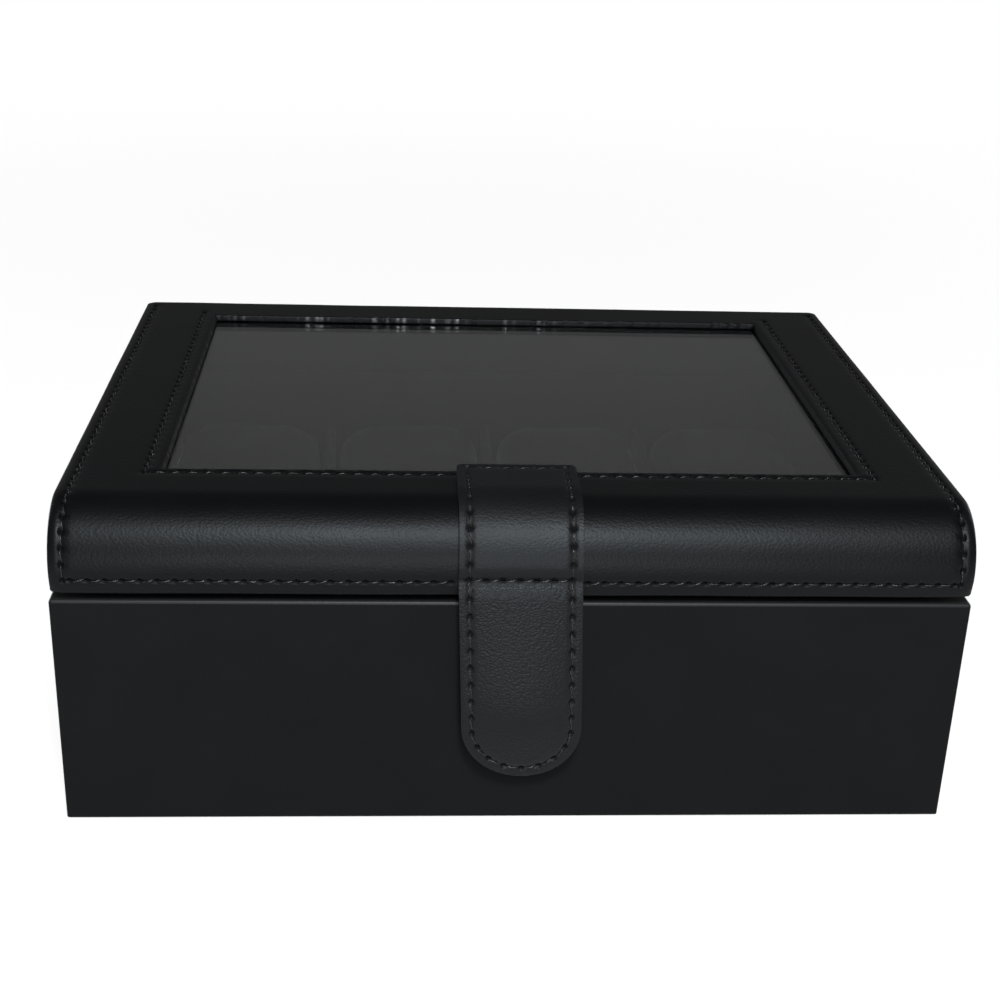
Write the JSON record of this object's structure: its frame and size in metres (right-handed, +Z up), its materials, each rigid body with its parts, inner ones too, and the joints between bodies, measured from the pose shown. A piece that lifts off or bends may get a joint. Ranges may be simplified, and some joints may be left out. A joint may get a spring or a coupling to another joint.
{
  "type": "watch box",
  "caption": "Leather-covered watch box: hinged lid with a rolled front edge and recessed glass window, magnetic strap tab, and velvet compartments with removable pillows.",
  "frame": {"origin": "middle of the base's footprint, on the face that it stands on", "axes": "+Z up, -Y towards the front with the strap tab, +X along the front to the right"},
  "size_m": [0.23, 0.1923, 0.0886],
  "materials": {
    "leather": "black grained leather, satin, sewn with black thread",
    "board": "raw fibre board",
    "velvet": "black velvet on card",
    "pillow_velvet": "black velvet over foam",
    "window_glass": "clear polished sheet",
    "hinge_metal": "dark nickel, satin",
    "magnet_steel": "nickel plate",
    "bottom_cloth": "black flocked sheet"
  },
  "bodies": {
    "base": {"base_front_panel": "board", "base_back_panel": "board", "base_left_panel": "board", "base_right_panel": "board", "base_floor_panel": "board", "base_leather_wrap": "leather", "base_bottom_cover": "bottom_cloth", "lining_front": "velvet", "lining_back": "velvet", "lining_left": "velvet", "lining_right": "velvet", "floor_lining": "velvet", "divider_long": "velvet", "divider_cross_1": "velvet", "divider_cross_2": "velvet", "divider_cross_3": "velvet", "base_magnet": "magnet_steel", "hinge_left_base_leaf": "hinge_metal", "hinge_right_base_leaf": "hinge_metal", "hinge_left_pin": "hinge_metal", "hinge_right_pin": "hinge_metal", "base_hinge_screws": "hinge_metal"},
    "lid": {"lid_front_rail": "board", "lid_left_rail": "board", "lid_right_rail": "board", "lid_back_rail": "board", "lid_top_board": "board", "lid_leather_top": "leather", "lid_leather_left": "leather", "lid_leather_right": "leather", "lid_leather_back": "leather", "window_edge_trim": "leather", "window_glass": "window_glass", "lid_ceiling_frame": "velvet", "lid_lining_front": "velvet", "lid_lining_back": "velvet", "lid_lining_left": "velvet", "lid_lining_right": "velvet", "lid_rim_facing": "leather", "strap_upper": "leather", "hinge_left_lid_leaf": "hinge_metal", "hinge_right_lid_leaf": "hinge_metal", "lid_hinge_screws": "hinge_metal"},
    "strap_tab": {"tab_outer_leather": "leather", "tab_inner_leather": "leather", "tab_magnet": "magnet_steel"},
    "pillow_1": {"watch_pillow_1": "pillow_velvet"},
    "pillow_2": {"watch_pillow_2": "pillow_velvet"},
    "pillow_3": {"watch_pillow_3": "pillow_velvet"},
    "pillow_4": {"watch_pillow_4": "pillow_velvet"},
    "pillow_5": {"watch_pillow_5": "pillow_velvet"},
    "pillow_6": {"watch_pillow_6": "pillow_velvet"},
    "pillow_7": {"watch_pillow_7": "pillow_velvet"},
    "pillow_8": {"watch_pillow_8": "pillow_velvet"}
  },
  "joints": [
    {"name": "lid_hinge", "type": "hinge", "parent": "base", "child": "lid", "pos_m": [0, 0.093, 0.0638], "axis": [-1, 0, 0], "range_deg": [0, 100]},
    {"name": "tab_flex", "type": "hinge", "parent": "lid", "child": "strap_tab", "pos_m": [0.0003, -0.0936, 0.0687], "axis": [-1, 0, 0], "range_deg": [0, 90]},
    {"name": "pillow_1_lift", "type": "slide", "parent": "base", "child": "pillow_1", "axis": [0, 0, 1], "range_m": [0, 0.024]},
    {"name": "pillow_2_lift", "type": "slide", "parent": "base", "child": "pillow_2", "axis": [0, 0, 1], "range_m": [0, 0.024]},
    {"name": "pillow_3_lift", "type": "slide", "parent": "base", "child": "pillow_3", "axis": [0, 0, 1], "range_m": [0, 0.024]},
    {"name": "pillow_4_lift", "type": "slide", "parent": "base", "child": "pillow_4", "axis": [0, 0, 1], "range_m": [0, 0.024]},
    {"name": "pillow_5_lift", "type": "slide", "parent": "base", "child": "pillow_5", "axis": [0, 0, 1], "range_m": [0, 0.024]},
    {"name": "pillow_6_lift", "type": "slide", "parent": "base", "child": "pillow_6", "axis": [0, 0, 1], "range_m": [0, 0.024]},
    {"name": "pillow_7_lift", "type": "slide", "parent": "base", "child": "pillow_7", "axis": [0, 0, 1], "range_m": [0, 0.024]},
    {"name": "pillow_8_lift", "type": "slide", "parent": "base", "child": "pillow_8", "axis": [0, 0, 1], "range_m": [0, 0.024]}
  ]
}
